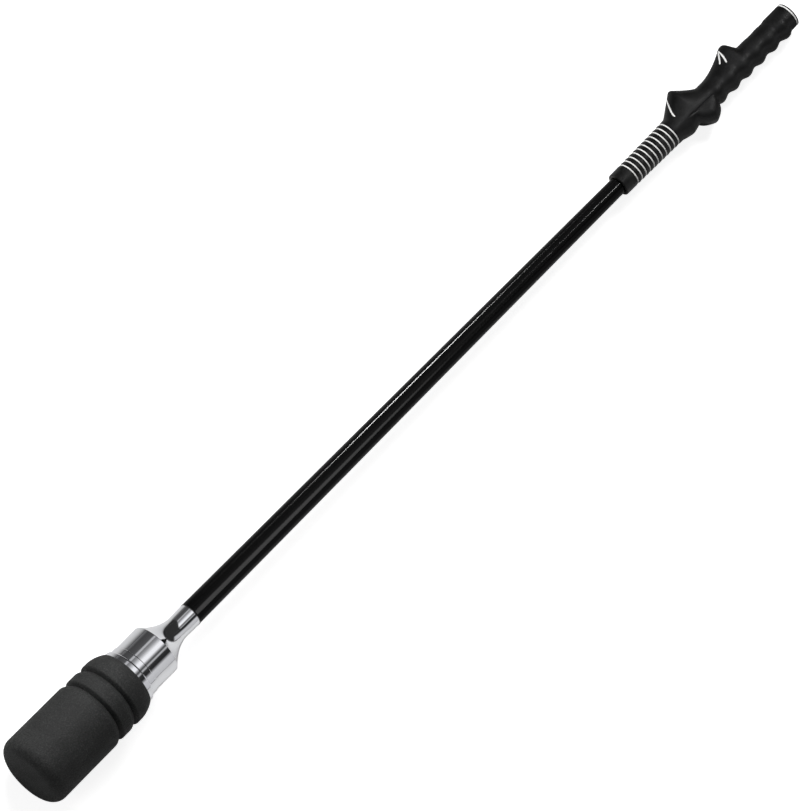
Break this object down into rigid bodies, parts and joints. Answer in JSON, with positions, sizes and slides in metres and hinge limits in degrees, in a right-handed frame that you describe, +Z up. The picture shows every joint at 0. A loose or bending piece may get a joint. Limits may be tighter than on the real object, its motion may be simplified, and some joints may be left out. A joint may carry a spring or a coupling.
{
  "type": "golf swing trainer stick",
  "caption": "Swing trainer stick: foam-covered weighted head screwed to a chromed bell socket, tapered tube and moulded training grip.",
  "frame": {"origin": "middle of the head's flat end face, on the stick's axis", "axes": "+X along the stick from the head to the butt cap; +Y towards the grip's thumb side; +Z up when the stick lies down, the side that carries the grip's white marks"},
  "size_m": [1, 0.0698, 0.0698],
  "materials": {
    "foam_rubber": "matte",
    "plain_steel": "satin",
    "chrome_plate": "polished",
    "trim_plastic": "gloss",
    "black_enamel": "gloss",
    "tape": "matte",
    "grip_rubber": "matte",
    "white_inlay": "matte",
    "cap_rubber": "satin"
  },
  "bodies": {
    "stick": {"bell_socket": "chrome_plate", "neck_trim_ring": "trim_plastic", "shaft_tube": "black_enamel", "grip_tape": "tape", "grip_sleeve": "grip_rubber", "grip_rings": "white_inlay", "grip_marks": "white_inlay", "butt_ring": "white_inlay", "butt_cap": "cap_rubber"},
    "spacer": {"spacer_ring": "chrome_plate"},
    "head": {"head_cover": "foam_rubber", "core_weight": "plain_steel", "end_washer": "plain_steel", "end_nut": "plain_steel", "head_stud": "plain_steel", "flange_collar": "chrome_plate"}
  },
  "joints": [
    {"name": "head_travel", "type": "slide", "parent": "stick", "child": "spacer", "axis": [-1, 0, 0], "range_m": [0, 0.016]},
    {"name": "head_turn", "type": "hinge", "parent": "spacer", "child": "head", "pos_m": [0.136, 0, 0], "axis": [-1, 0, 0], "range_deg": [0, 2880]}
  ],
  "couplings": [
    {"joint": "head_travel", "follows": "head_turn", "m_per_rad": 0.00031831}
  ]
}
